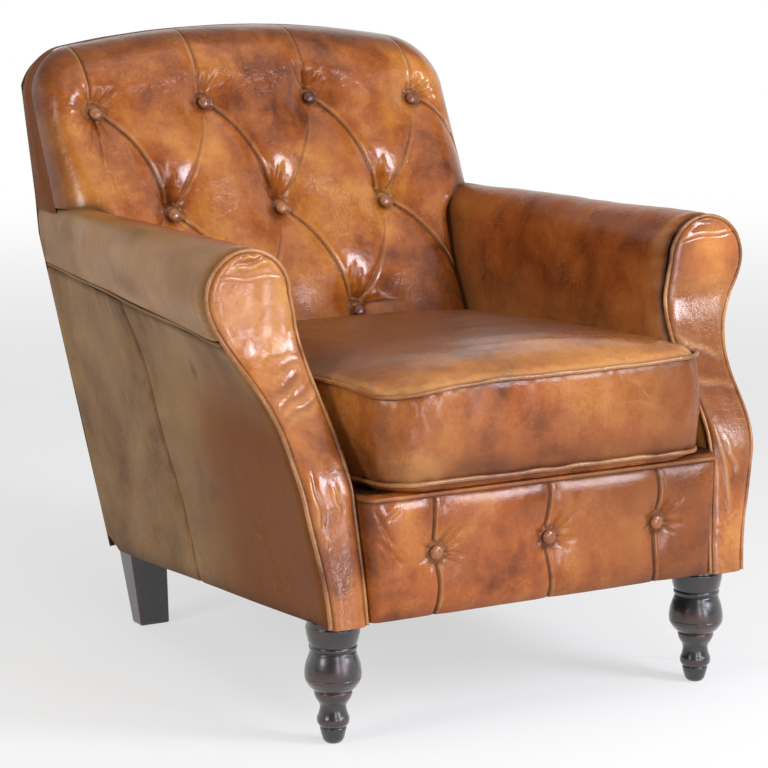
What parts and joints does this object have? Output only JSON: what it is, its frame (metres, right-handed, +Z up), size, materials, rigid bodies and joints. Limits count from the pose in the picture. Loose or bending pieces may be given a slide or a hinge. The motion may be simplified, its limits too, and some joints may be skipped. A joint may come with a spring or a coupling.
{
  "type": "club chair",
  "caption": "Worn leather club chair: raked deep-buttoned back, rolled arms with S-curved fronts, loose piped seat cushion, turned front legs.",
  "frame": {"origin": "bottom centre of the bounding box, on the floor", "axes": "+Z up, the chair faces -Y, +X is to the right seen from the front"},
  "size_m": [0.8, 0.9192, 0.8273],
  "materials": {
    "leather_back": "waxed, glossy, mottled, creased",
    "leather_seat": "waxed, dark on the seat, worn at the edges",
    "leather_arm": "waxed, mottled, scratched",
    "leather_outside": "waxed, dull olive brown, scuffed",
    "leather_piping": "worn to a light tan",
    "leather_button": "waxed",
    "ebonised_wood": "polished near-black",
    "beech": "plain, unseen",
    "spring_steel": "drawn wire",
    "hessian": "coarse woven jute",
    "dust_cloth": "thin dark cambric"
  },
  "bodies": {
    "root": {"back_border": "leather_outside", "back_button_1": "leather_button", "back_button_2": "leather_button", "back_button_3": "leather_button", "back_button_4": "leather_button", "back_button_5": "leather_button", "back_button_6": "leather_button", "back_button_7": "leather_button", "back_button_8": "leather_button", "back_button_9": "leather_button", "back_seat_rail": "beech", "back_webbing_1": "hessian", "back_webbing_2": "hessian", "back_webbing_3": "hessian", "border_button_1": "leather_button", "border_button_2": "leather_button", "border_button_3": "leather_button", "crest_rail": "beech", "cushion_piping_bottom": "leather_piping", "cushion_piping_top": "leather_piping", "dust_cover": "dust_cloth", "front_border": "leather_seat", "front_seat_rail": "beech", "inside_back": "leather_back", "left_arm_facing": "leather_arm", "left_arm_rail": "beech", "left_arm_welt": "leather_outside", "left_back_block": "beech", "left_back_leg": "ebonised_wood", "left_back_post": "beech", "left_facing_piping": "leather_piping", "left_front_block": "beech", "left_front_leg": "ebonised_wood", "left_front_stump": "beech", "left_inside_arm": "leather_arm", "left_outside_arm": "leather_outside", "left_side_rail": "beech", "lower_back_rail": "beech", "outside_back": "leather_outside", "right_arm_facing": "leather_arm", "right_arm_rail": "beech", "right_arm_welt": "leather_outside", "right_back_block": "beech", "right_back_leg": "ebonised_wood", "right_back_post": "beech", "right_facing_piping": "leather_piping", "right_front_block": "beech", "right_front_leg": "ebonised_wood", "right_front_stump": "beech", "right_inside_arm": "leather_arm", "right_outside_arm": "leather_outside", "right_side_rail": "beech", "seat_cushion": "leather_seat", "seat_deck": "hessian", "seat_spring_1": "spring_steel", "seat_spring_2": "spring_steel", "seat_spring_3": "spring_steel", "seat_spring_4": "spring_steel"}
  },
  "joints": []
}
